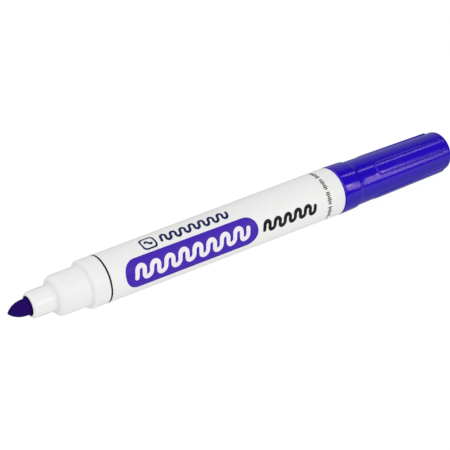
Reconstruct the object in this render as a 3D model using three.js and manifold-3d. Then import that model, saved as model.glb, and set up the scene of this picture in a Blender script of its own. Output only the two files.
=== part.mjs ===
// Whiteboard marker with its cap posted on the rear end.
// Millimetres. The pen lies along X: nib towards -X, closed end of the cap towards +X, +Z up.
// Lengths along the pen are written from the plane of the printed ring, station 0, and the
// whole pen is moved along X at the end so that the origin is the middle of its bounding box.
import * as THREE from "three";
import Module from "manifold-3d";

const wasm = await Module();
wasm.setup();

// ---- driving dimensions -------------------------------------------------------------------

const SEGMENTS = 48;                 // facets round every turned piece
const HALF_FACET = Math.PI / SEGMENTS;

const GRIP_R = 7.0;                  // barrel radius at the printed ring
const BARREL_END = 83.1;             // station of the barrel's rear edge
const BARREL_END_R = 7.6;            // barrel radius there
const COLLAR_FRONT = -5.14;          // front of the grip collar
const COLLAR_ROUND = 0.6;
const NECK_FRONT = -14.79;           // front of the neck the cap closes over
const NECK_R = 5.86;
const NECK_ROUND = 1.7;
const SNOUT_FRONT = -21.95;          // front of the nib tube
const SNOUT_R = 3.82;                // its radius at the neck
const SNOUT_TIP_R = 3.74;            // and just behind its rounded front
const SNOUT_MOUTH_R = 2.73;          // wider mouth that leaves air round the nib
const SNOUT_MOUTH_DEPTH = 3.2;
const SNOUT_BORE_R = 2.4;

const NIB_TIP = -28.11;
const NIB_LENGTH = 5.0;              // length of the rounded point
const NIB_R = 2.32;
const NIB_TAIL = 3.6;                // rear end of the nib, inside the reservoir

const BORE_FRONT_R = 5.85;           // barrel bore at the reservoir shoulder
const BORE_REAR_R = 6.38;            // barrel bore at the plug
const RESERVOIR_SHOULDER = -3.7;
const CORE_R = 5.2;
const CORE_FRONT = -3.3;
const CORE_REAR = 74.0;
const FILM_IN_R = 5.33;
const FILM_OUT_R = 5.48;

const PLUG_FLANGE_R = 6.95;          // flange sunk in the barrel's rear end
const PLUG_FLANGE_T = 0.8;
const POST_R = 5.85;                 // post the cap sits on
const POST_LENGTH = 9.4;
const PLUG_SKIRT_R = 6.12;
const PLUG_SKIRT_END = 74.4;

const CAP_MOUTH = 83.2;
const CAP_MOUTH_R = 7.65;
const CAP_MOUTH_ROUND = 0.55;
const CAP_STEP = 90.87;              // rear edge of the cap's collar
const CAP_STEP_R = 7.52;
const CAP_STEP_ROUND = 1.1;
const CAP_BODY_R = 7.12;             // cap body radius at the step
const CAP_END = 129.5;
const CAP_END_R = 6.45;
const CAP_END_ROUND = 0.87;
const CAP_BORE_R = 6.0;
const CAP_BEAD_R = 5.93;             // low bead that grips the post, or the neck when closed
const LINER_SEAT = 95.0;
const LINER_BORE_R = 5.6;
const CAP_BORE_END_R = 5.1;
const CAP_BORE_END = 127.9;

const PADS = 4;                      // raised finger pads on the cap
const PAD_START = 97.95;
const PAD_END = 127.4;
const PAD_HALF_WIDTH = 1.96;
const PAD_CORNER = 1.7;              // corner radius at both ends
const PAD_CROWN = 5.4;               // radius of a pad's cross-section
const PAD_FULL = 101.4;              // station where the near end's ramp is over
const PAD_RISE_START = 0.11;         // height of the middle line over the cap's body
const PAD_RISE_FULL = 0.25;
const PAD_RISE_END = 0.45;
const PAD_LEAST = 0.05;              // least height of a pad's edge
const CAP_ROLL = THREE.MathUtils.degToRad(-41.6);

const LINER_RIM_R = 5.44;
const LINER_CUP_R = 4.7;
const LINER_IN_R = 3.95;
const LINER_FRONT = 95.4;
const LINER_REAR = 110.4;

// ---- materials ----------------------------------------------------------------------------

function plastic(red, green, blue, roughness) {
  return new THREE.MeshStandardMaterial({
    color: new THREE.Color(red, green, blue),
    roughness,
    metalness: 0.0,
  });
}

// ---- profile helpers: points are [station, radius] ------------------------------------------

// Rounded corner made of straight steps, from angle to angle about its centre, in degrees.
function corner(station, radius, roundX, roundR, from, to, steps) {
  const points = [];
  for (let i = 0; i <= steps; i += 1) {
    const angle = THREE.MathUtils.degToRad(from + ((to - from) * i) / steps);
    points.push([station + roundX * Math.cos(angle), radius + roundR * Math.sin(angle)]);
  }
  return points;
}

// Turned solid about X from a profile that starts and ends on the axis or closes on itself.
function turned(points) {
  const profile = points.map(([station, radius]) => new THREE.Vector2(radius, station));
  const geometry = new THREE.LatheGeometry(profile, SEGMENTS, HALF_FACET);
  geometry.rotateZ(-Math.PI / 2);
  return geometry;
}

function closed(points) {
  return [...points, points[0]];
}

// ---- indexed triangle solids ----------------------------------------------------------------

// Merge equal positions and keep only triangles with three different corners.
function weld(geometry) {
  const position = geometry.getAttribute("position");
  const index = geometry.getIndex();
  const count = index ? index.count : position.count;
  const seen = new Map();
  const vertProperties = [];
  const corners = [];
  for (let i = 0; i < count; i += 1) {
    const vertex = index ? index.getX(i) : i;
    const point = [position.getX(vertex), position.getY(vertex), position.getZ(vertex)];
    const key = point.map((value) => Math.round(value * 1e5)).join(" ");
    if (!seen.has(key)) {
      seen.set(key, vertProperties.length / 3);
      vertProperties.push(...point);
    }
    corners.push(seen.get(key));
  }
  const triVerts = [];
  for (let i = 0; i < corners.length; i += 3) {
    const [a, b, c] = corners.slice(i, i + 3);
    if (a !== b && b !== c && c !== a) {
      triVerts.push(a, b, c);
    }
  }
  return new wasm.Mesh({
    numProp: 3,
    vertProperties: new Float32Array(vertProperties),
    triVerts: new Uint32Array(triVerts),
  });
}

function solid(geometry) {
  return new wasm.Manifold(weld(geometry));
}

function toGeometry(manifold) {
  const mesh = manifold.getMesh();
  const geometry = new THREE.BufferGeometry();
  geometry.setAttribute("position", new THREE.BufferAttribute(mesh.vertProperties, 3));
  geometry.setIndex(new THREE.BufferAttribute(mesh.triVerts, 1));
  return geometry;
}

// ---- barrel: grip collar, neck and nib tube in one moulding ---------------------------------

function barrelGeometry() {
  const outside = [
    ...corner(SNOUT_FRONT + 1.2, SNOUT_TIP_R - 0.92, 1.2, 0.92, 180, 90, 5),
    [NECK_FRONT, SNOUT_R],
    ...corner(NECK_FRONT + NECK_ROUND, NECK_R - NECK_ROUND - 0.02, NECK_ROUND, NECK_ROUND, 180, 90, 5),
    [COLLAR_FRONT, NECK_R],
    ...corner(COLLAR_FRONT + COLLAR_ROUND, GRIP_R - COLLAR_ROUND, COLLAR_ROUND, COLLAR_ROUND, 180, 90, 3),
    [0, GRIP_R],
    [BARREL_END - 0.2, BARREL_END_R],
    [BARREL_END, BARREL_END_R - 0.15],
  ];
  const inside = [
    [BARREL_END, PLUG_FLANGE_R + 0.1],
    [BARREL_END - PLUG_FLANGE_T - 0.15, PLUG_FLANGE_R + 0.1],
    [BARREL_END - PLUG_FLANGE_T - 0.15, BORE_REAR_R],
    [RESERVOIR_SHOULDER, BORE_FRONT_R],
    [RESERVOIR_SHOULDER, 4.5],
    [NECK_FRONT + 1.4, 4.4],
    [NECK_FRONT + 1.4, SNOUT_BORE_R],
    [SNOUT_FRONT + SNOUT_MOUTH_DEPTH + 0.4, SNOUT_BORE_R],
    [SNOUT_FRONT + SNOUT_MOUTH_DEPTH, SNOUT_MOUTH_R],
    [SNOUT_FRONT + 0.08, SNOUT_MOUTH_R],
  ];
  return turned(closed([...outside, ...inside]));
}

// ---- nib: bullet point on a long fibre rod ----------------------------------------------------

function nibGeometry() {
  const profile = [[NIB_TIP, 0]];
  const steps = 7;
  for (let i = 1; i <= steps; i += 1) {
    const along = i / steps;
    const radius = NIB_R * Math.pow(1 - (1 - along) ** 2, 0.8);
    profile.push([NIB_TIP + NIB_LENGTH * along, radius]);
  }
  profile.push([NIB_TAIL - 1.5, NIB_R]);
  profile.push([NIB_TAIL, NIB_R * 0.45]);
  profile.push([NIB_TAIL, 0]);
  return turned(profile);
}

// ---- ink reservoir: fibre core with a socket for the nib, and the film wrapped round it --------

function coreGeometry() {
  return turned([
    [NIB_TAIL + 0.3, 0],
    [NIB_TAIL + 0.3, NIB_R * 0.45 + 0.35],
    [NIB_TAIL - 1.2, NIB_R + 0.3],
    [CORE_FRONT, NIB_R + 0.3],
    [CORE_FRONT, CORE_R - 0.4],
    [CORE_FRONT + 0.4, CORE_R],
    [CORE_REAR - 0.4, CORE_R],
    [CORE_REAR, CORE_R - 0.4],
    [CORE_REAR, 0],
  ]);
}

function filmGeometry() {
  return turned(closed([
    [CORE_FRONT + 0.5, FILM_IN_R],
    [CORE_FRONT + 0.5, FILM_OUT_R],
    [CORE_REAR - 0.5, FILM_OUT_R],
    [CORE_REAR - 0.5, FILM_IN_R],
  ]));
}

// ---- rear plug: skirt pressed into the barrel, sunk flange, and the hollow post ----------------

function plugGeometry() {
  const flangeRear = BARREL_END - 0.05;
  const postEnd = BARREL_END + POST_LENGTH;
  return turned([
    [postEnd - 1.3, 0],
    [postEnd - 1.3, 4.4],
    [BARREL_END - PLUG_FLANGE_T, 4.7],
    [PLUG_SKIRT_END, 4.95],
    [PLUG_SKIRT_END, PLUG_SKIRT_R - 0.35],
    [PLUG_SKIRT_END + 0.9, PLUG_SKIRT_R],
    [flangeRear - PLUG_FLANGE_T, PLUG_SKIRT_R],
    [flangeRear - PLUG_FLANGE_T, PLUG_FLANGE_R],
    [flangeRear, PLUG_FLANGE_R],
    [flangeRear, POST_R],
    ...corner(postEnd - 1.2, POST_R - 1.25, 1.2, 1.2, 90, 0, 4),
    [postEnd, 2.2],
    [postEnd - 0.35, 1.9],
    [postEnd - 0.35, 0],
  ]);
}

// ---- cap --------------------------------------------------------------------------------------

function capOutside() {
  return [
    ...corner(CAP_MOUTH + CAP_MOUTH_ROUND, CAP_MOUTH_R - CAP_MOUTH_ROUND,
      CAP_MOUTH_ROUND, CAP_MOUTH_ROUND, 180, 90, 3),
    ...corner(CAP_STEP - CAP_STEP_ROUND, CAP_STEP_R - 0.3, CAP_STEP_ROUND, 0.3, 90, 0, 3),
    [CAP_STEP, CAP_BODY_R],
    ...corner(CAP_END - CAP_END_ROUND, CAP_END_R - CAP_END_ROUND,
      CAP_END_ROUND, CAP_END_ROUND, 90, 0, 4),
    [CAP_END, 0],
  ];
}

function capInside() {
  return [
    [CAP_BORE_END, 0],
    [CAP_BORE_END, CAP_BORE_END_R - 0.5],
    [CAP_BORE_END - 0.5, CAP_BORE_END_R],
    [LINER_SEAT, LINER_BORE_R],
    [LINER_SEAT, CAP_BORE_R - 0.02],
    [88.4, CAP_BORE_R],
    [88.0, CAP_BEAD_R],
    [87.2, CAP_BEAD_R],
    [86.8, CAP_BORE_R],
    [CAP_MOUTH + 0.4, CAP_BORE_R + 0.02],
    [CAP_MOUTH, CAP_BORE_R + 0.3],
  ];
}

// Half width of a finger pad at a distance from its nearer end.
function padHalfWidth(distance) {
  if (distance >= PAD_CORNER) {
    return PAD_HALF_WIDTH;
  }
  return PAD_HALF_WIDTH - PAD_CORNER + Math.sqrt(PAD_CORNER ** 2 - (PAD_CORNER - distance) ** 2);
}

function capBodyRadius(station) {
  return CAP_BODY_R + ((CAP_END_R - CAP_BODY_R) * (station - CAP_STEP)) / (CAP_END - CAP_STEP);
}

// Height of a pad's middle line over the cap's body.
function padRise(station) {
  if (station < PAD_FULL) {
    const ramp = (PAD_FULL - station) / (PAD_FULL - PAD_START);
    return PAD_RISE_FULL - (PAD_RISE_FULL - PAD_RISE_START) * Math.pow(ramp, 1.6);
  }
  return PAD_RISE_FULL + ((PAD_RISE_END - PAD_RISE_FULL) * (station - PAD_FULL)) / (PAD_END - PAD_FULL);
}

// Radius of a pad's crowned top at an angle from its middle line.
function padRadius(station, angle) {
  const body = capBodyRadius(station);
  const centre = body + padRise(station) - PAD_CROWN;
  const top = centre * Math.cos(angle) + Math.sqrt(PAD_CROWN ** 2 - (centre * Math.sin(angle)) ** 2);
  return Math.max(top, body + PAD_LEAST);
}

// One raised pad: a crowned slab that follows the cap, sunk 0.35 mm into its wall.
function padGeometry(middle) {
  const across = 8;
  const length = PAD_END - PAD_START;
  const ends = [0, 0.12, 0.4, 0.85, PAD_CORNER];
  const stations = [...ends, 2.3, PAD_FULL - PAD_START, 16.0, ...ends.map((d) => length - d).reverse()];
  const positions = [];
  const row = 2 * (across + 1);
  for (const distance of stations) {
    const station = PAD_START + distance;
    const halfAngle = padHalfWidth(Math.min(distance, length - distance)) / CAP_BODY_R;
    for (const isTop of [true, false]) {
      for (let j = 0; j <= across; j += 1) {
        const angle = halfAngle * ((2 * j) / across - 1);
        const radius = isTop ? padRadius(station, angle) : capBodyRadius(station) - 0.35;
        positions.push(station, radius * Math.sin(middle + angle), radius * Math.cos(middle + angle));
      }
    }
  }
  const index = [];
  const quad = (a, b, c, d) => index.push(a, b, c, a, c, d);
  const last = (stations.length - 1) * row;
  for (let i = 0; i < stations.length - 1; i += 1) {
    const here = i * row;
    const next = here + row;
    for (let j = 0; j < across; j += 1) {
      quad(here + j, next + j, next + j + 1, here + j + 1);
      quad(here + across + 1 + j, here + across + 2 + j, next + across + 2 + j, next + across + 1 + j);
    }
    quad(here, here + across + 1, next + across + 1, next);
    quad(here + across, next + across, next + 2 * across + 1, here + 2 * across + 1);
  }
  for (let j = 0; j < across; j += 1) {
    quad(j, j + 1, across + 2 + j, across + 1 + j);
    quad(last + j, last + across + 1 + j, last + across + 2 + j, last + j + 1);
  }
  const geometry = new THREE.BufferGeometry();
  geometry.setAttribute("position", new THREE.Float32BufferAttribute(positions, 3));
  geometry.setIndex(index);
  return geometry;
}

function capGeometry() {
  let cap = solid(turned([...capInside(), ...capOutside()]));
  for (let i = 0; i < PADS; i += 1) {
    cap = cap.add(solid(padGeometry(CAP_ROLL + (i * 2 * Math.PI) / PADS)));
  }
  return toGeometry(cap);
}

// ---- cap liner: the seal cup that closes on the nib tube when the cap is on the nose ------------

function linerGeometry() {
  return turned([
    [LINER_REAR - 0.8, 0],
    [LINER_REAR - 0.8, LINER_IN_R - 0.5],
    [LINER_REAR - 1.3, LINER_IN_R - 0.1],
    [LINER_FRONT + 0.5, LINER_IN_R],
    [LINER_FRONT, LINER_IN_R + 0.35],
    [LINER_FRONT, LINER_RIM_R],
    [LINER_FRONT + 3.2, LINER_RIM_R - 0.04],
    [LINER_FRONT + 3.2, LINER_CUP_R + 0.1],
    [LINER_REAR - 0.8, LINER_CUP_R - 0.2],
    [LINER_REAR, LINER_CUP_R - 0.9],
    [LINER_REAR, 0],
  ]);
}

// ---- assembly -----------------------------------------------------------------------------------

const marker = new THREE.Group();
marker.name = "whiteboard_marker";

function place(name, geometry, material) {
  const shift = -(NIB_TIP + CAP_END) / 2;
  geometry.translate(shift, 0, 0);
  geometry.computeVertexNormals();
  const mesh = new THREE.Mesh(geometry, material);
  mesh.name = name;
  marker.add(mesh);
}

place("barrel_shell", barrelGeometry(), plastic(0.84, 0.85, 0.84, 0.42));
place("nib", nibGeometry(), plastic(0.012, 0.001, 0.11, 0.95));
place("reservoir_core", coreGeometry(), plastic(0.03, 0.01, 0.3, 0.98));
place("reservoir_film", filmGeometry(), plastic(0.62, 0.62, 0.66, 0.2));
place("rear_plug", plugGeometry(), plastic(0.028, 0.007, 0.43, 0.28));
place("cap_shell", capGeometry(), plastic(0.028, 0.007, 0.43, 0.28));
place("cap_liner", linerGeometry(), plastic(0.78, 0.79, 0.8, 0.45));

export default marker;
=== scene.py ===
"""Whiteboard marker, lying down with its cap posted on the rear end.

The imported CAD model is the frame: metres, nib towards -X, closed end of the cap towards +X, +Z up.
Stations along the pen are in millimetres from the plane of the printed ring, as on the CAD drawing,
and angles round the pen are in degrees from the top, negative towards -Y.
"""

import math

import bmesh
import bpy
from mathutils import Matrix, Vector


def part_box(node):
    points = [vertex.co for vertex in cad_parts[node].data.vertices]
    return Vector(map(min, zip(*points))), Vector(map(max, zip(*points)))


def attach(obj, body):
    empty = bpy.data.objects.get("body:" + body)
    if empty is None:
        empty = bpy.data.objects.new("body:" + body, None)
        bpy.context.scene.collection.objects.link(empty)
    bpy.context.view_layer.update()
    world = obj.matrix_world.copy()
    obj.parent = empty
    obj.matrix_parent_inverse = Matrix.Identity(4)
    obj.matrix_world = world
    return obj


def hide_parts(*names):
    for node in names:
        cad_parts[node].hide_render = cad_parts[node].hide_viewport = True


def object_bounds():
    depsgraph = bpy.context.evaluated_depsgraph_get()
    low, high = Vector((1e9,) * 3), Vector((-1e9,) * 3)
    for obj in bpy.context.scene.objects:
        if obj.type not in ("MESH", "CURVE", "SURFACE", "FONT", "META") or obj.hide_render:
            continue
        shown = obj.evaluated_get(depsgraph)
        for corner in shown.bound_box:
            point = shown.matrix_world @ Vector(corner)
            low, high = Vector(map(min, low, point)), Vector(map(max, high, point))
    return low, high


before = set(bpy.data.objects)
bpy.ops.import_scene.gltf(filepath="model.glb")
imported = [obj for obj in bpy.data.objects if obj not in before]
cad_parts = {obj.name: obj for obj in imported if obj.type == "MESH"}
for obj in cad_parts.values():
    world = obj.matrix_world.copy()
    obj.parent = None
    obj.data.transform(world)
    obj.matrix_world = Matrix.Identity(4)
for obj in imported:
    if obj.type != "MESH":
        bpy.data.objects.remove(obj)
cad_low, cad_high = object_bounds()

MM = 0.001
CAP_END = 129.5                   # station of the cap's closed end
RING_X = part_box("cap_shell")[1].x - CAP_END * MM
AROUND = 192                      # facets round a turned piece
AROUND_SMALL = 128                # facets round the nib and the liner
ON_AXIS = 1e-6                    # a radius below this is a point on the axis, millimetres
MERGE = 1e-7                      # points closer than this are joined, metres

# ---- driving sizes: stations, lengths and radii in millimetres ------------------------------

GRIP_R = 7.0
BARREL_END = 83.1
BARREL_END_R = 7.6
COLLAR_FRONT = -5.14
COLLAR_ROUND = 0.6
NECK_FRONT = -14.79
NECK_R = 5.86
NECK_ROUND = 1.7
SNOUT_FRONT = -21.95              # the nib tube
SNOUT_R = 3.82
SNOUT_TIP_R = 3.74
SNOUT_ROUND = (1.2, 0.92)         # length and height of its rounded lip
SNOUT_MOUTH_R = 2.73
SNOUT_BORE_R = 2.40
SNOUT_BORE_FRONT = SNOUT_FRONT + 3.6
NIB_TIP = -28.11
NIB_LENGTH = 5.0                  # length of the bullet point
NIB_R = 2.32
NIB_TAIL = 3.6

RESERVOIR_FRONT = -3.7            # front end of the barrel's bore
BORE_FRONT_R = 5.85
BORE_REAR_R = 6.38
NECK_BORE_R = 4.5
NIB_SEAT = NECK_FRONT + 1.4       # where the nib's bore opens into the neck's
FLANGE_SEAT = BARREL_END - 0.95   # recess for the plug's flange in the barrel's rear

PLUG_FLANGE_R = 6.95
PLUG_FRONT = 74.4                 # the plug's skirt in the bore
PLUG_SKIRT_R = 6.12
POST_R = 5.85
POST_END = BARREL_END + 9.4

CAP_MOUTH = 83.2
CAP_MOUTH_R = 7.65
CAP_MOUTH_ROUND = 0.55
CAP_STEP = 90.57                  # where the cap's collar steps down to its body
CAP_STEP_R = 7.52
CAP_STEP_ROUND = 1.17
CAP_BODY = 90.87                  # the body's taper starts here
CAP_BODY_R = 7.12
CAP_END_R = 6.45
CAP_END_ROUND = 0.87
CAP_BORE_R = 6.0
CAP_BEAD_R = 5.93                 # low bead that grips the post
CAP_BORE_END = 127.9
LINER_SEAT = 95.0
LINER_END = 110.4
LINER_R = 3.95

PADS = 4                          # finger pads: raised, crowned, with rounded corners
PAD_START = 97.95
PAD_END = 127.4
PAD_HALF_WIDTH = 1.96
PAD_CORNER = 1.7
PAD_CROWN = 5.8                   # radius of a pad's cross-section
PAD_FULL = 101.4                  # station where the near end's ramp is over
PAD_RAMP_POWER = 1.6              # the ramp is steepest at the near end
PAD_RISE = (0.16, 0.25, 0.45)     # height at the near end, after the ramp and at the far end
PAD_FOOT = 0.26                   # width of the hollow round a pad's foot
PAD_ROUND = 0.24                  # width of its rounded edge
PAD_LEAST = 0.06                  # least height of a pad's edge
PAD_GROOVE = (0.035, 0.12)        # depth and half width of the fine groove round a pad
PAD_APRON = (1.05, 0.05)          # length and height of the gentle slope before its near end
PAD_APRON_END = 1.2               # the slope dies out this far behind the near end
PAD_REACH = 1.5                   # nothing of a pad is further out than this
CAP_ROLL = -41.6                  # angle of one pad's middle line


def barrel_radius(station):
    """Outer radius of the barrel behind the grip, in millimetres."""
    return GRIP_R + (BARREL_END_R - GRIP_R) * max(station, 0.0) / BARREL_END


def cap_radius(station):
    """Outer radius of the cap's tapered body between the pads, in millimetres."""
    share = (station - CAP_BODY) / (CAP_END - CAP_BODY)
    return CAP_BODY_R + (CAP_END_R - CAP_BODY_R) * share


# ---- mesh helpers ------------------------------------------------------------------------------


def arc(station, radius, size, start, end, steps=8, size_r=None):
    """Points of a rounded corner about (station, radius), angles in degrees."""
    size_r = size if size_r is None else size_r
    points = []
    for i in range(steps + 1):
        a = math.radians(start + (end - start) * i / steps)
        points.append((station + size * math.cos(a), radius + size_r * math.sin(a)))
    return points


def place(station, radius, degrees):
    """A point of the pen in metres, from millimetres and degrees from the top."""
    a = math.radians(degrees)
    y = radius * math.sin(a)
    z = radius * math.cos(a)
    return Vector((RING_X + station * MM, y * MM, z * MM))


def add_object(name, verts, faces, material, sharp=35.0):
    """A mesh object, smooth except across edges over sharp degrees, facing outwards."""
    mesh = bpy.data.meshes.new(name)
    mesh.from_pydata(verts, [], faces)
    tidy = bmesh.new()
    tidy.from_mesh(mesh)
    bmesh.ops.remove_doubles(tidy, verts=tidy.verts, dist=MERGE)
    bmesh.ops.recalc_face_normals(tidy, faces=tidy.faces)
    tidy.to_mesh(mesh)
    tidy.free()
    for polygon in mesh.polygons:
        polygon.use_smooth = True
    mesh.set_sharp_from_angle(angle=math.radians(sharp))
    mesh.materials.append(material)
    obj = bpy.data.objects.new(name, mesh)
    bpy.context.scene.collection.objects.link(obj)
    return obj


def no_relief(station, degrees):
    """The height added to a plain turned surface."""
    return 0.0


def around_axis(name, rings, angles, material, closed=False, sharp=35.0):
    """A solid of rings (station, radius, relief) with a point at each angle.

    The relief is a function of station and degrees that gives the height over the radius. An open
    row of rings starts and ends on the axis. A closed one ends where it began.
    """
    verts = []
    faces = []
    loops = []
    count = len(angles)
    for station, radius, relief in rings:
        if radius < ON_AXIS:
            loops.append([len(verts)])
            verts.append(place(station, 0.0, 0.0))
            continue
        loops.append(list(range(len(verts), len(verts) + count)))
        verts += [place(station, radius + relief(station, angle), angle) for angle in angles]
    pairs = list(zip(loops, loops[1:]))
    if closed:
        pairs.append((loops[-1], loops[0]))
    for one, two in pairs:
        for i in range(count):
            j = (i + 1) % count
            if len(one) == 1:
                faces.append((one[0], two[j], two[i]))
            elif len(two) == 1:
                faces.append((one[i], one[j], two[0]))
            else:
                faces.append((one[i], one[j], two[j], two[i]))
    return add_object(name, verts, faces, material, sharp)


def turned(name, profile, material, closed=False, around=AROUND):
    """A turned solid from (station, radius) points."""
    rings = [(station, radius, no_relief) for station, radius in profile]
    angles = [360.0 * i / around for i in range(around)]
    return around_axis(name, rings, angles, material, closed)


def stand_for(piece, node, body):
    """The piece replaces a CAD node and rides on a body."""
    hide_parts(node)
    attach(piece, body)


# ---- material helpers ----------------------------------------------------------------------------

LOW, HIGH = 0.3, 0.7              # the range that nearly all of a noise texture lies in


class Nodes:
    """Short ways to add and join shader nodes in one tree."""

    def __init__(self, tree):
        self.tree = tree

    def add(self, kind, **settings):
        """A new node of a kind, with its properties set."""
        node = self.tree.nodes.new(kind)
        for key, value in settings.items():
            setattr(node, key, value)
        return node

    def put(self, socket, value):
        """Joins another node's output to a socket, or sets the socket's own value."""
        if isinstance(value, bpy.types.NodeSocket):
            self.tree.links.new(value, socket)
        else:
            socket.default_value = value

    def noise(self, scale, detail, rough, vector):
        """Fractal noise from 0 to 1, mostly between LOW and HIGH."""
        node = self.add("ShaderNodeTexNoise")
        self.put(node.inputs["Vector"], vector)
        node.inputs["Scale"].default_value = scale
        node.inputs["Detail"].default_value = detail
        node.inputs["Roughness"].default_value = rough
        return node.outputs["Fac"]

    def remap(self, value, low, high, new_low, new_high, smooth=False):
        """A value that goes from new_low to new_high as the given one goes from low to high."""
        node = self.add("ShaderNodeMapRange")
        if smooth:
            node.interpolation_type = "SMOOTHSTEP"
        self.put(node.inputs["Value"], value)
        self.put(node.inputs["From Min"], low)
        self.put(node.inputs["From Max"], high)
        self.put(node.inputs["To Min"], new_low)
        self.put(node.inputs["To Max"], new_high)
        return node.outputs["Result"]

    def math(self, operation, one, two=0.0):
        """The result of a sum, product or other operation on two values."""
        node = self.add("ShaderNodeMath", operation=operation)
        self.put(node.inputs[0], one)
        self.put(node.inputs[1], two)
        return node.outputs["Value"]

    def mix(self, share, one, two):
        """A colour between two colours, the share of the second given."""
        node = self.add("ShaderNodeMix", data_type="RGBA")
        self.put(node.inputs["Factor"], share)
        self.put(node.inputs["A"], one)
        self.put(node.inputs["B"], two)
        return node.outputs["Result"]

    def spread(self, noise, new_low, new_high):
        """A noise stretched over a whole range."""
        return self.remap(noise, LOW, HIGH, new_low, new_high)

    def parts(self, vector):
        """A vector's three components."""
        node = self.add("ShaderNodeSeparateXYZ")
        self.put(node.inputs["Vector"], vector)
        return node.outputs["X"], node.outputs["Y"], node.outputs["Z"]


class Shader(Nodes):
    """A material with one Principled shader, textured by the object's own coordinates."""

    def __init__(self, name):
        self.material = bpy.data.materials.new(name)
        self.material.use_nodes = True
        super().__init__(self.material.node_tree)
        self.main = self.tree.nodes["Principled BSDF"]
        self.here = self.add("ShaderNodeTexCoord").outputs["Object"]

    def set(self, **values):
        """Joins or sets the shader's inputs, named with underscores for spaces."""
        for key, value in values.items():
            self.put(self.main.inputs[key.replace("_", " ")], value)

    def grain(self, scale, detail, rough=0.5, along=1.0):
        """Noise from 0 to 1. A low value of along draws it out along the pen."""
        node = self.add("ShaderNodeMapping")
        self.put(node.inputs["Vector"], self.here)
        node.inputs["Scale"].default_value = (along, 1.0, 1.0)
        return self.noise(scale, detail, rough, node.outputs["Vector"])

    def bump(self, height, distance, strength, under=None):
        """A normal from a height, over another bump's normal when there is one under it."""
        node = self.add("ShaderNodeBump")
        self.put(node.inputs["Height"], height)
        node.inputs["Distance"].default_value = distance
        node.inputs["Strength"].default_value = strength
        if under is not None:
            self.put(node.inputs["Normal"], under)
        return node.outputs["Normal"]


def white_plastic():
    """Moulded white polypropylene: satin on the barrel, glossier on the nib tube."""
    s = Shader("white_plastic")
    cloud = s.grain(60.0, 3.0)
    share = s.remap(cloud, 0.35, 0.65, 0.0, 1.0)
    clean = s.mix(share, (0.827, 0.833, 0.823, 1), (0.842, 0.848, 0.838, 1))
    x, y, z = s.parts(s.here)
    from_axis = s.math("SQRT", s.math("ADD", s.math("MULTIPLY", y, y), s.math("MULTIPLY", z, z)))
    mouth = SNOUT_MOUTH_R * MM
    stain = s.remap(from_axis, mouth + 0.03 * MM, mouth + 0.28 * MM, 0.95, 0.0)
    neck = RING_X + NECK_FRONT * MM
    finish = s.remap(x, neck - 0.4 * MM, neck + 0.4 * MM, 0.15, 0.42)
    scuff = s.spread(s.grain(350.0, 3.0, along=0.25), -0.04, 0.05)
    waves = s.bump(s.grain(260.0, 2.0), 6e-6, 0.3)
    s.set(
        Base_Color=s.mix(stain, clean, (0.10, 0.012, 0.26, 1)),
        Roughness=s.math("ADD", finish, scuff),
        Normal=s.bump(s.grain(1200.0, 2.0), 1e-6, 0.3, waves),
        Subsurface_Weight=0.12,
        Subsurface_Radius=(1.0, 0.95, 0.9),
        Subsurface_Scale=0.0012,
    )
    return s.material


def coloured_plastic(name):
    """Glossy blue-violet polypropylene: a faint orange peel, flow streaks, rubbed patches and
    painted shade towards the outline.
    """
    s = Shader(name)
    streak = s.spread(s.grain(200.0, 2.0, along=0.12), 0.0, 1.0)
    haze = s.spread(s.grain(170.0, 3.0), 0.11, 0.16)
    rub = s.remap(s.grain(300.0, 1.0, along=0.1), 0.58, 0.75, 0.0, 0.04)
    peel = s.bump(s.grain(300.0, 2.0, along=0.4), 2e-6, 0.2)
    # Painted shade: the base colour darkens towards the outline, where the surface turns away from
    # the camera.
    facing = s.add("ShaderNodeLayerWeight").outputs["Facing"]
    painted_edge_shade = s.remap(facing, 0.2, 0.55, 0.0, 0.22, smooth=True)
    tone = s.mix(streak, (0.0140, 0.0012, 0.47, 1), (0.0165, 0.0022, 0.51, 1))
    s.set(
        Base_Color=s.mix(painted_edge_shade, tone, (0.0, 0.0, 0.0, 1)),
        Roughness=s.math("ADD", haze, rub),
        Normal=s.bump(s.grain(1100.0, 2.0), 3e-7, 0.2, peel),
        Specular_Tint=(1.0, 0.64, 0.64, 1),
        Subsurface_Weight=0.05,
        Subsurface_Radius=(0.3, 0.2, 1.0),
        Subsurface_Scale=0.0006,
    )
    return s.material


def nib_fibre():
    """Bonded fibre soaked with ink: dark, matt, with fine fibres along the pen."""
    s = Shader("nib_fibre")
    fibre = s.grain(2600.0, 5.0, 0.7, along=0.10)
    blot = s.grain(500.0, 3.0, 0.6)
    tint = s.math("MULTIPLY", s.spread(fibre, 0.5, 1.3), s.spread(blot, 0.65, 1.3))
    s.set(
        Base_Color=s.mix(tint, (0.007, 0.0005, 0.05, 1), (0.018, 0.003, 0.125, 1)),
        Roughness=s.spread(fibre, 0.8, 1.0),
        Specular_IOR_Level=0.04,
        Normal=s.bump(fibre, 5e-5, 0.8, s.bump(blot, 4e-5, 0.4)),
    )
    return s.material


def soaked_wadding():
    """Reservoir wadding soaked with ink."""
    s = Shader("soaked_wadding")
    fibre = s.grain(1400.0, 6.0, 0.7, along=0.06)
    s.set(
        Base_Color=s.mix(fibre, (0.02, 0.004, 0.16, 1), (0.06, 0.03, 0.42, 1)),
        Roughness=s.spread(fibre, 0.8, 1.0),
        Specular_IOR_Level=0.2,
        Normal=s.bump(fibre, 1e-4, 0.8),
    )
    return s.material


def clear_film():
    """Thin wrapped film, faintly creased."""
    s = Shader("clear_film")
    crease = s.grain(300.0, 4.0, 0.6, along=0.4)
    s.set(
        Base_Color=s.mix(crease, (0.86, 0.87, 0.92, 1), (0.95, 0.95, 0.97, 1)),
        Roughness=s.spread(crease, 0.05, 0.2),
        Transmission_Weight=0.9,
        Normal=s.bump(crease, 3e-5, 0.6),
    )
    return s.material


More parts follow.
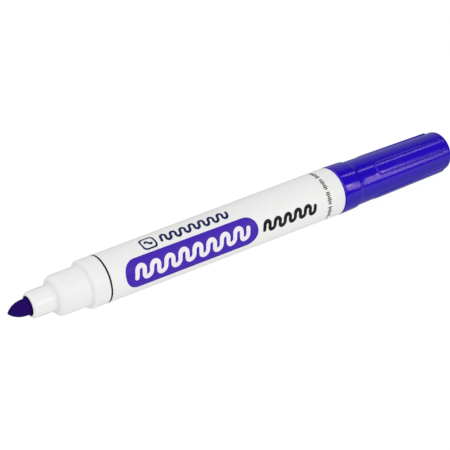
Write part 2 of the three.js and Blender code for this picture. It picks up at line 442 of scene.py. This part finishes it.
def liner_plastic():
    """Natural soft polyethylene, milky and satin."""
    s = Shader("liner_plastic")
    cloud = s.grain(300.0, 3.0)
    s.set(
        Base_Color=s.mix(cloud, (0.74, 0.75, 0.76, 1), (0.82, 0.83, 0.84, 1)),
        Roughness=s.spread(cloud, 0.38, 0.52),
        Subsurface_Weight=0.35,
        Subsurface_Scale=0.002,
        Normal=s.bump(s.grain(900.0, 2.0), 4e-6, 0.5),
    )
    return s.material


def print_ink(name, light, dark, shine=0.2):
    """Screen-printed ink: nearly flat, with a slightly uneven film."""
    s = Shader(name)
    film = s.grain(900.0, 5.0, 0.65)
    s.set(
        Base_Color=s.mix(s.spread(film, 0.0, 1.0), dark, light),
        Roughness=s.spread(film, 0.33, 0.45),
        Specular_IOR_Level=shine,
        Normal=s.bump(film, 3e-6, 0.5),
    )
    return s.material


white = white_plastic()
cap_plastic = coloured_plastic("cap_plastic")
plug_plastic = coloured_plastic("plug_plastic")
fibre = nib_fibre()
violet_ink = print_ink("violet_ink", (0.058, 0.014, 0.44, 1), (0.048, 0.010, 0.40, 1))
navy_ink = print_ink("navy_ink", (0.007, 0.014, 0.10, 1), (0.005, 0.009, 0.08, 1))
black_ink = print_ink("black_ink", (0.009, 0.009, 0.009, 1), (0.005, 0.005, 0.005, 1))
grey_ink = print_ink("grey_ink", (0.02, 0.02, 0.02, 1), (0.011, 0.011, 0.011, 1))
ring_ink = print_ink("ring_ink", (0.006, 0.007, 0.014, 1), (0.003, 0.003, 0.007, 1), shine=0.15)
white_ink = print_ink("white_ink", (0.86, 0.84, 0.88, 1), (0.80, 0.78, 0.83, 1), shine=0.35)

# ---- barrel, nib and plug ------------------------------------------------------------------------


def barrel_profile():
    """Outside from the nib tube's mouth to the rear edge, then the bore back to the mouth."""
    length, height = SNOUT_ROUND
    seat_radius = PLUG_FLANGE_R + 0.1
    return [
        (SNOUT_FRONT + 0.08, SNOUT_MOUTH_R),
        *arc(SNOUT_FRONT + length, SNOUT_TIP_R - height, length, 180, 90, 14, height),
        (-18.5, SNOUT_TIP_R + 0.03),
        *arc(NECK_FRONT - 0.25, SNOUT_R + 0.25, 0.25, 270, 360, 5),
        *arc(NECK_FRONT + NECK_ROUND, NECK_R - 0.02 - NECK_ROUND, NECK_ROUND, 180, 90, 14),
        (-9.5, NECK_R - 0.01),
        *arc(COLLAR_FRONT - 0.18, NECK_R + 0.18, 0.18, 270, 360, 5),
        *arc(COLLAR_FRONT + COLLAR_ROUND, GRIP_R - COLLAR_ROUND, COLLAR_ROUND, 180, 90, 10),
        (-0.4, GRIP_R),
        *((station, barrel_radius(station)) for station in (0.0, 20.0, 45.0, 70.0)),
        *arc(BARREL_END - 0.18, BARREL_END_R - 0.18, 0.18, 90, 0, 4),
        (BARREL_END, seat_radius + 0.12),
        (BARREL_END - 0.12, seat_radius),
        (FLANGE_SEAT, seat_radius),
        (FLANGE_SEAT, BORE_REAR_R),
        (RESERVOIR_FRONT, BORE_FRONT_R),
        (RESERVOIR_FRONT, NECK_BORE_R),
        (NIB_SEAT, NECK_BORE_R - 0.1),
        (NIB_SEAT, SNOUT_BORE_R),
        (SNOUT_BORE_FRONT, SNOUT_BORE_R),
        (SNOUT_BORE_FRONT - 0.4, SNOUT_MOUTH_R),
    ]


barrel = turned("barrel_moulding", barrel_profile(), white, closed=True)
stand_for(barrel, "barrel_shell", "barrel")


def nib_profile():
    """Bullet point, straight rod, chamfered tail."""
    points = [(NIB_TIP, 0.0)]
    steps = 26
    for i in range(1, steps + 1):
        share = (i / steps) ** 1.4
        radius = NIB_R * (1.0 - (1.0 - share) ** 2) ** 0.8
        points.append((NIB_TIP + NIB_LENGTH * share, radius))
    points += [(-12.0, NIB_R), (NIB_TAIL - 1.5, NIB_R), (NIB_TAIL, NIB_R * 0.45), (NIB_TAIL, 0.0)]
    return points


nib = turned("nib_bullet", nib_profile(), fibre, around=AROUND_SMALL)
stand_for(nib, "nib", "barrel")

flange_rear = BARREL_END - 0.05
plug_profile = [
    (POST_END - 1.3, 0.0),
    *arc(POST_END - 1.8, 3.9, 0.5, 0, 90, 4),
    (BARREL_END - 0.8, 4.7),
    (PLUG_FRONT, 4.95),
    (PLUG_FRONT, PLUG_SKIRT_R - 0.35),
    (PLUG_FRONT + 0.9, PLUG_SKIRT_R),
    (flange_rear - 0.8, PLUG_SKIRT_R),
    (flange_rear - 0.8, PLUG_FLANGE_R),
    *arc(flange_rear - 0.12, PLUG_FLANGE_R - 0.12, 0.12, 90, 0, 4),
    *arc(flange_rear + 0.2, POST_R + 0.2, 0.2, 180, 270, 5),
    (87.0, POST_R - 0.01),
    *arc(POST_END - 1.2, POST_R - 1.25, 1.2, 90, 0, 12),
    *arc(POST_END - 0.15, 2.2, 0.15, 0, -60, 3),
    *arc(POST_END - 0.20, 1.9, 0.15, 120, 180, 3),
    (POST_END - 0.35, 1.4),
    (POST_END - 0.35, 0.0),
]
plug = turned("plug_moulding", plug_profile, plug_plastic)
stand_for(plug, "rear_plug", "barrel")

for node, make in (("reservoir_core", soaked_wadding), ("reservoir_film", clear_film)):
    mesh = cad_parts[node].data
    mesh.materials.clear()
    mesh.materials.append(make())

# ---- cap -----------------------------------------------------------------------------------------


def clamped(value):
    """A value held between 0 and 1."""
    return min(max(value, 0.0), 1.0)


def rounded_box_distance(x, y, half_x, half_y, radius):
    """Signed distance to a rounded rectangle about the origin, negative inside."""
    dx = abs(x) - half_x + radius
    dy = abs(y) - half_y + radius
    outside = math.hypot(max(dx, 0.0), max(dy, 0.0))
    return outside + min(max(dx, dy), 0.0) - radius


def pad_height(station, degrees):
    """How far the cap stands out at a place on its body, in millimetres, from the finger pads."""
    body = cap_radius(station)
    pitch = 360.0 / PADS
    turn = (degrees - CAP_ROLL + pitch / 2) % pitch - pitch / 2
    across = math.radians(turn) * body
    half_length = (PAD_END - PAD_START) / 2
    along = station - PAD_START - half_length
    inside = -rounded_box_distance(along, across, half_length, PAD_HALF_WIDTH, PAD_CORNER)
    if inside <= -PAD_REACH:
        return 0.0
    depth, spread = PAD_GROOVE
    groove = depth * math.exp(-((inside + PAD_FOOT) / spread) ** 2)
    length, height = PAD_APRON
    near_end = clamped((PAD_START + PAD_APRON_END - station) / PAD_APRON_END)
    apron = height * near_end * clamped((inside + PAD_FOOT) / length + 1.0)
    if inside <= -PAD_FOOT:
        return apron - groove
    near, full, far = PAD_RISE
    if station < PAD_FULL:
        ramp = clamped((PAD_FULL - station) / (PAD_FULL - PAD_START))
        rise = full - (full - near) * ramp ** PAD_RAMP_POWER
    else:
        rise = full + (far - full) * (station - PAD_FULL) / (PAD_END - PAD_FULL)
    centre = body + rise - PAD_CROWN
    a = math.radians(turn)
    top = centre * math.cos(a) + math.sqrt(PAD_CROWN ** 2 - (centre * math.sin(a)) ** 2)
    top = max(top - body, PAD_LEAST)
    edge = top - apron
    foot = PAD_FOOT / (PAD_FOOT + PAD_ROUND)
    if inside < 0:
        return apron + edge * foot * ((inside + PAD_FOOT) / PAD_FOOT) ** 2 - groove
    if inside < PAD_ROUND:
        fall = ((PAD_ROUND - inside) / PAD_ROUND) ** 2
        return apron + edge * (1.0 - (1.0 - foot) * fall) - groove
    return top


def spaced(start, end, step):
    """Even steps of about the given size from start, up to but without end."""
    count = max(1, round((end - start) / step))
    return [start + (end - start) * i / count for i in range(count)]


def cap_angles():
    """Angles round the cap, close together at the edges of the pads."""
    angles = []
    coarse, medium, fine = 2.4, 1.2, 0.32
    edge = math.degrees(PAD_HALF_WIDTH / CAP_BODY_R)
    outside, inside = 4.0, 1.6
    half_pitch = 180.0 / PADS
    for k in range(PADS):
        middle = CAP_ROLL + 2 * half_pitch * k
        angles += spaced(middle - half_pitch, middle - edge - outside, coarse)
        angles += spaced(middle - edge - outside, middle - edge + inside, fine)
        angles += spaced(middle - edge + inside, middle + edge - inside, medium)
        angles += spaced(middle + edge - inside, middle + edge + outside, fine)
        angles += spaced(middle + edge + outside, middle + half_pitch, coarse)
    return angles


def cap_outside():
    """The cap's outside as (station, radius, relief), mouth to closed end."""
    mouth, step, end = CAP_MOUTH_ROUND, CAP_STEP_ROUND, CAP_END_ROUND
    collar = [
        *arc(CAP_MOUTH + mouth, CAP_MOUTH_R - mouth, mouth, 180, 90),
        (86.5, 7.60),
        *arc(CAP_STEP - 0.87, CAP_STEP_R - step, step, 90, 44),
        (CAP_STEP + 0.14, CAP_BODY_R + 0.04),
        (CAP_STEP + 0.45, CAP_BODY_R),
    ]
    corner = 1.8
    stations = spaced(92.5, PAD_START - 1.5, 1.3)
    stations += spaced(PAD_START - 1.5, PAD_START - 0.4, 0.1)
    stations += spaced(PAD_START - 0.4, PAD_START + corner, 0.05)
    stations += spaced(PAD_START + corner, PAD_FULL + 0.4, 0.35)
    stations += spaced(PAD_FULL + 0.4, PAD_END - corner, 1.6)
    stations += spaced(PAD_END - corner, PAD_END + 0.5, 0.05)
    stations += [PAD_END + 0.5, PAD_END + 0.9]
    closed_end = [
        *arc(CAP_END - end, CAP_END_R + 0.01 - end, end, 90, 0, 10),
        (CAP_END, 3.0),
        (CAP_END, 0.0),
    ]
    rings = [(station, radius, no_relief) for station, radius in collar]
    rings += [(station, cap_radius(station), pad_height) for station in stations]
    rings += [(station, radius, no_relief) for station, radius in closed_end]
    return rings


def cap_inside():
    """The cap's bore from its closed end back to the mouth."""
    bore = [
        (CAP_BORE_END, 0.0),
        *arc(CAP_BORE_END - 0.6, 4.5, 0.6, 0, 90, 4),
        (LINER_SEAT, 5.6),
        (LINER_SEAT, CAP_BORE_R - 0.02),
        (88.4, CAP_BORE_R),
        (88.0, CAP_BEAD_R),
        (87.2, CAP_BEAD_R),
        (86.8, CAP_BORE_R),
        (CAP_MOUTH + 0.4, CAP_BORE_R + 0.02),
        *arc(CAP_MOUTH + 0.25, 6.3, 0.25, 250, 180, 4),
    ]
    return [(station, radius, no_relief) for station, radius in bore]


cap = around_axis(
    "cap_moulding", cap_inside() + cap_outside(), cap_angles(), cap_plastic, sharp=50.0)
stand_for(cap, "cap_shell", "cap")

liner_profile = [
    (LINER_END - 0.8, 0.0),
    *arc(LINER_END - 1.4, 3.25, 0.6, 0, 90, 5),
    (LINER_SEAT + 0.9, LINER_R),
    *arc(LINER_SEAT + 0.6, LINER_R + 0.25, 0.2, 270, 180, 4),
    *arc(LINER_SEAT + 0.6, 5.24, 0.2, 180, 90, 4),
    (LINER_SEAT + 3.6, 5.4),
    (LINER_SEAT + 3.6, 4.8),
    *arc(LINER_END - 0.8, 3.9, 0.8, 90, 0, 6),
    (LINER_END, 0.0),
]
liner = turned("liner_cup", liner_profile, liner_plastic(), around=AROUND_SMALL)
stand_for(liner, "cap_liner", "liner")

# ---- printing on the barrel -------------------------------------------------------------------

INK = 0.02                        # thickness of a printed film, mm
LIFT = 0.012                      # gap under it
OVER = LIFT + INK + 0.004         # gap under a print that lies on another
LEAN = 0.22                       # a scribble's strokes lean this far along per unit of height
WOBBLE = 0.08                     # and differ in height by up to this share
PER_DEGREE = math.radians(1.0)


def wrap(station, across, lift):
    """A point on the barrel: across is arc length in millimetres up from the -90 degree line."""
    radius = barrel_radius(station)
    degrees = -90.0 + across / (radius * PER_DEGREE)
    return place(station, radius + lift, degrees)


def ribbon(path, width):
    """Left and right edge points of a stroke with round ends along a 2D path, in millimetres."""
    left = []
    right = []
    half = width / 2
    count = len(path)
    lengths = [0.0]
    for (ax, ay), (bx, by) in zip(path, path[1:]):
        lengths.append(lengths[-1] + math.hypot(bx - ax, by - ay))
    total = lengths[-1]
    for i, (x, y) in enumerate(path):
        before = path[max(i - 1, 0)]
        after = path[min(i + 1, count - 1)]
        dx, dy = after[0] - before[0], after[1] - before[1]
        size = math.hypot(dx, dy) or 1.0
        nx, ny = -dy / size, dx / size
        near_end = min(lengths[i], total - lengths[i])
        reach = half
        if near_end < half:
            reach = math.sqrt(max(half ** 2 - (half - near_end) ** 2, 1e-8))
        left.append((x + nx * reach, y + ny * reach))
        right.append((x - nx * reach, y - ny * reach))
    return left, right


def on_barrel(piece):
    """A print rides on the barrel."""
    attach(piece, "barrel")


def printed_strip(name, left, right, material, lift=LIFT, columns=1):
    """A thin closed film between two edges laid on the barrel."""
    verts = []
    for (ax, ay), (bx, by) in zip(left, right):
        for level in (lift, lift + INK):
            for k in range(columns + 1):
                t = k / columns
                verts.append(wrap(ax + (bx - ax) * t, ay + (by - ay) * t, level))
    row = 2 * (columns + 1)
    top = columns + 1
    faces = []
    for i in range(len(left) - 1):
        a = i * row
        b = a + row
        for k in range(columns):
            faces.append((a + k, a + k + 1, b + k + 1, b + k))
            faces.append((a + top + k, b + top + k, b + top + k + 1, a + top + k + 1))
        faces.append((a, b, b + top, a + top))
        faces.append((a + columns, a + top + columns, b + top + columns, b + columns))
    last = (len(left) - 1) * row
    for k in range(columns):
        faces.append((k, top + k, top + k + 1, k + 1))
        faces.append((last + k, last + k + 1, last + top + k + 1, last + top + k))
    on_barrel(add_object(name, verts, faces, material, sharp=60.0))


def dense(path, step=0.08):
    """The same path with points no further apart than step."""
    out = []
    for (ax, ay), (bx, by) in zip(path, path[1:]):
        count = max(1, math.ceil(math.hypot(bx - ax, by - ay) / step))
        out += [(ax + (bx - ax) * i / count, ay + (by - ay) * i / count) for i in range(count)]
    return out + [path[-1]]


def scribble(start, end, middle, height, waves, width):
    """A marker scribble: slanting strokes joined by round turns, starting at the bottom."""
    pitch = (end - start - width) / waves
    turn = pitch / 4
    low = -height / 2 + width / 2
    high = height / 2 - width / 2
    path = []
    for i in range(2 * waves + 1):
        x = i * pitch / 2
        going_up = i % 2 == 0
        swing = 1.0 + WOBBLE * math.sin(2.3 * i + 0.7)
        first, last = i == 0, i == 2 * waves
        bottom = low * swing + (0.0 if first else turn)
        top = high * swing - (0.0 if last else turn)
        path += [(x, bottom), (x, top)] if going_up else [(x, top), (x, bottom)]
        if not last:
            edge = path[-1][1]
            for j in range(1, 8):
                angle = math.pi * j / 8
                y = math.sin(angle) * turn
                path.append((x + turn - turn * math.cos(angle), edge + (y if going_up else -y)))
    return [(start + width / 2 + x + LEAN * y, middle + y) for x, y in dense(path)]


def print_scribble(name, material, extent, middle, height, waves, width, columns=2, lift=LIFT):
    """A printed scribble between two stations."""
    start, end = extent
    left, right = ribbon(scribble(start, end, middle, height, waves, width), width)
    printed_strip(name, left, right, material, lift, columns)


def pill(start, end, middle, half_height, corner):
    """Upper and lower edges of a rounded panel."""
    upper = []
    lower = []
    steps = 14
    between = 24
    length = end - start - 2 * corner
    shares = [1.0 - math.cos(math.pi / 2 * i / steps) for i in range(steps + 1)]
    stations = [start + corner * t for t in shares]
    stations += [start + corner + length * i / between for i in range(1, between)]
    stations += [end - corner * t for t in reversed(shares)]
    for s in stations:
        d = max(start + corner - s, s - end + corner, 0.0)
        h = half_height - corner + math.sqrt(max(corner ** 2 - d ** 2, 1e-6))
        upper.append((s, middle + h))
        lower.append((s, middle - h))
    return upper, lower


def arc_at(degrees, station):
    """Arc length up from the -90 degree line to an angle, in millimetres."""
    return (degrees + 90.0) * PER_DEGREE * barrel_radius(station)


badge_middle = arc_at(-73.2, 27.0)
upper, lower = pill(4.75, 49.9, badge_middle, half_height=4.4, corner=4.2)
printed_strip("print_badge", upper, lower, violet_ink, columns=20)
print_scribble(
    "print_badge_scribble", white_ink, (7.7, 47.0), badge_middle,
    height=4.9, waves=8, width=1.35, columns=3, lift=OVER)
print_scribble(
    "print_black_scribble", black_ink, (51.7, 71.8), arc_at(-77.3, 62.0),
    height=3.9, waves=5, width=1.15)
print_scribble(
    "print_navy_scribble", navy_ink, (19.2, 42.6), arc_at(-15.6, 31.0),
    height=3.1, waves=7, width=0.8)


def board_sign():
    """A plain sign of a board: a rounded outline with one wavy stroke drawn in it."""
    station = 15.4
    across = arc_at(-13.5, station)
    half_length, half_height, round_corner = 1.15, 0.95, 1.25
    outline = []
    for corner in range(4):
        x = station + (half_length if corner in (0, 3) else -half_length)
        y = across + (half_height if corner in (0, 1) else -half_height)
        for j in range(7):
            a = math.radians(90.0 * corner + 90.0 * j / 6)
            outline.append((x + round_corner * math.cos(a), y + round_corner * math.sin(a)))
    outline = dense(outline + outline[:1], 0.2)
    inner = [(station + (x - station) * 0.78, across + (y - across) * 0.765) for x, y in outline]
    printed_strip("print_sign_outline", outline, inner, navy_ink)
    stroke = []
    steps = 30
    for i in range(steps + 1):
        wave = 0.55 * math.sin(2 * math.pi * i / steps)
        stroke.append((station - 1.1 + 2.2 * i / steps, across + wave))
    left, right = ribbon(stroke, 0.7)
    printed_strip("print_sign_stroke", left, right, navy_ink)


board_sign()


def ring_line():
    """The dark line printed all the way round the barrel, at station 0."""
    front, rear = -0.26, 0.26
    gap = 0.004
    profile = [
        (front, barrel_radius(front) + gap),
        (front, barrel_radius(front) + INK),
        (rear, barrel_radius(rear) + INK),
        (rear, barrel_radius(rear) + gap),
    ]
    on_barrel(turned("print_ring", profile, ring_ink, closed=True))


ring_line()


def tick_ring():
    """Short fine strokes part of the way round the barrel, near the cap, in groups of seven."""
    station = 77.0
    lengths = (1.5, 0.95, 1.2)
    width = 0.34
    step, gap = 4.4, 9.0
    degrees = 18.0
    number = 0
    while degrees > -128.0:
        half = lengths[number % 3] / 2
        a = arc_at(degrees, station)
        upper = [(station - half, a), (station + half, a)]
        lower = [(station - half, a - width), (station + half, a - width)]
        printed_strip(f"print_tick_{number:02d}", upper, lower, grey_ink)
        number += 1
        degrees -= gap if number % 7 == 0 else step


tick_ring()

# ---- floor, light and camera --------------------------------------------------------------------


def make_floor():
    """A plain floor that glows evenly to the camera, so that no more than a faint shadow shows.

    Diffuse rays see it dimmer towards the cap's end. Reflections see it dark close to the pen, as a
    painted shadow of the pen, and far in front of it.
    """
    s = Shader("floor_white")
    paths = s.add("ShaderNodeLightPath")
    x, y = s.parts(s.add("ShaderNodeNewGeometry").outputs["Position"])[:2]
    before = s.math("MULTIPLY", y, -1.0)
    soft = s.remap(x, 0.030, 0.070, 0.92, 0.66)
    # Painted shadow: reflections see the floor darker close to the pen, in place of the pen's
    # shadow.
    near = s.remap(before, 0.0, 0.03, 0.22, 0.70)
    far = s.remap(before, 0.055, 0.075, 1.0, 0.0, smooth=True)
    glossy = s.math("MULTIPLY", near, far)
    glow = s.remap(paths.outputs["Is Glossy Ray"], 0.0, 1.0, soft, glossy)
    s.set(
        Base_Color=(0.05, 0.05, 0.05, 1),
        Roughness=0.9,
        Specular_IOR_Level=0.0,
        Emission_Color=(1, 1, 1, 1),
        Emission_Strength=s.remap(paths.outputs["Is Camera Ray"], 0.0, 1.0, glow, 0.975),
    )
    s.material.cycles.emission_sampling = "NONE"
    reach = 6.0
    corners = [
        (x * reach, y * reach, cad_low.z) for x, y in ((-1, -1), (1, -1), (1, 1), (-1, 1))]
    mesh = bpy.data.meshes.new("floor")
    mesh.from_pydata(corners, [], [(0, 1, 2, 3)])
    mesh.materials.append(s.material)
    obj = bpy.data.objects.new("floor", mesh)
    bpy.context.scene.collection.objects.link(obj)


make_floor()


def make_world():
    """White to the camera. Reflections see a pale room on the left and a dark one on the right."""
    world = bpy.data.worlds.new("studio")
    bpy.context.scene.world = world
    world.use_nodes = True
    world.cycles.sampling_method = "NONE"
    n = Nodes(world.node_tree)
    x, y, z = n.parts(n.add("ShaderNodeTexCoord").outputs["Generated"])

    def sloping(level, along_x, along_y, along_z):
        """A radiance that changes evenly with the direction."""
        total = n.math("ADD", n.math("MULTIPLY", y, along_y), n.math("MULTIPLY", z, along_z))
        total = n.math("ADD", total, n.math("MULTIPLY", x, along_x))
        return n.math("ADD", total, level)

    wall = n.remap(y, 0.17, 0.42, 0.015, 0.36, smooth=True)
    right = n.math("ADD", wall, n.remap(y, 0.4, 0.8, 0.0, 0.16))
    left = sloping(0.82, 0.0, -0.30, 0.22)
    reflected = n.remap(n.remap(x, 0.50, 0.40, 0.0, 1.0, smooth=True), 0.0, 1.0, right, left)
    diffuse = sloping(0.775, -0.27, -0.055, 0.182)
    paths = n.add("ShaderNodeLightPath")
    room = n.remap(paths.outputs["Is Diffuse Ray"], 0.0, 1.0, reflected, diffuse)
    strength = n.remap(paths.outputs["Is Camera Ray"], 0.0, 1.0, room, 1.02)
    background = world.node_tree.nodes["Background"]
    background.inputs["Color"].default_value = (1, 1, 1, 1)
    n.put(background.inputs["Strength"], strength)


make_world()

# The camera's place is in grip radii from the printed ring's centre. The softboxes stand where
# the pen mirrors them towards it.
CAMERA_FROM = Vector((-21.160, -36.775, 27.206)) * GRIP_R * MM + Vector((RING_X, 0, 0))
CAMERA_TOWARDS = Vector((0.51431, 0.69217, -0.50634))
CAMERA_LENS = 102.37
PALE_RED = (1.0, 0.94, 0.92)
PALE_YELLOW = (1.0, 1.0, 0.9)


def mirrored(station, degrees):
    """A place on the grip's radius, and the direction in which the camera's ray leaves it."""
    point = place(station, GRIP_R, degrees)
    a = math.radians(degrees)
    normal = Vector((0, math.sin(a), math.cos(a)))
    view = (point - CAMERA_FROM).normalized()
    return point, view - 2 * view.dot(normal) * normal


def softbox(name, stations, angles, distance, radiance, tint=(1, 1, 1)):
    """An area light whose corners the pen mirrors at two stations and two angles."""
    points = []
    for station in stations:
        for degrees in angles:
            point, direction = mirrored(station, degrees)
            points.append(direction * distance + point)
    centre = sum(points, Vector()) / 4
    across = (points[2] + points[3] - points[0] - points[1]) / 2
    up = (points[1] + points[3] - points[0] - points[2]) / 2
    facing = centre.normalized()
    side = (across - facing * across.dot(facing)).normalized()
    light = bpy.data.lights.new(name, "AREA")
    light.shape = "RECTANGLE"
    light.size = across.length
    light.size_y = up.length
    light.energy = radiance * math.pi * light.size * light.size_y
    light.color = tint
    obj = bpy.data.objects.new(name, light)
    turn = Matrix((side, facing.cross(side), facing)).transposed()
    obj.matrix_world = Matrix.Translation(centre) @ turn.to_4x4()
    obj.visible_camera = False
    bpy.context.scene.collection.objects.link(obj)


softbox("key_top", (60.0, 103.0), (-60.0, -54.2), 1.5, 4.6, PALE_YELLOW)
softbox("key_near", (60.0, 104.0), (-67.2, -54.2), 1.55, 3.9, PALE_RED)
softbox("key_far", (104.0, 140.0), (-70.2, -60.4), 1.55, 3.4, PALE_RED)
softbox("nose_key", (-70.0, -14.0), (-68.0, -53.0), 1.55, 1.5)
softbox("top_strip", (66.0, 140.0), (-33.0, -29.4), 1.5, 4.0, PALE_RED)

camera_data = bpy.data.cameras.new("camera")
camera_data.sensor_width = 36.0
camera_data.lens = CAMERA_LENS
camera_data.clip_start = 0.01
camera_data.clip_end = 50.0
camera = bpy.data.objects.new("camera", camera_data)
camera.location = CAMERA_FROM
camera.rotation_mode = "QUATERNION"
camera.rotation_quaternion = CAMERA_TOWARDS.to_track_quat("-Z", "Y")
bpy.context.scene.collection.objects.link(camera)
bpy.context.scene.camera = camera
bpy.context.scene.view_settings.view_transform = "Standard"
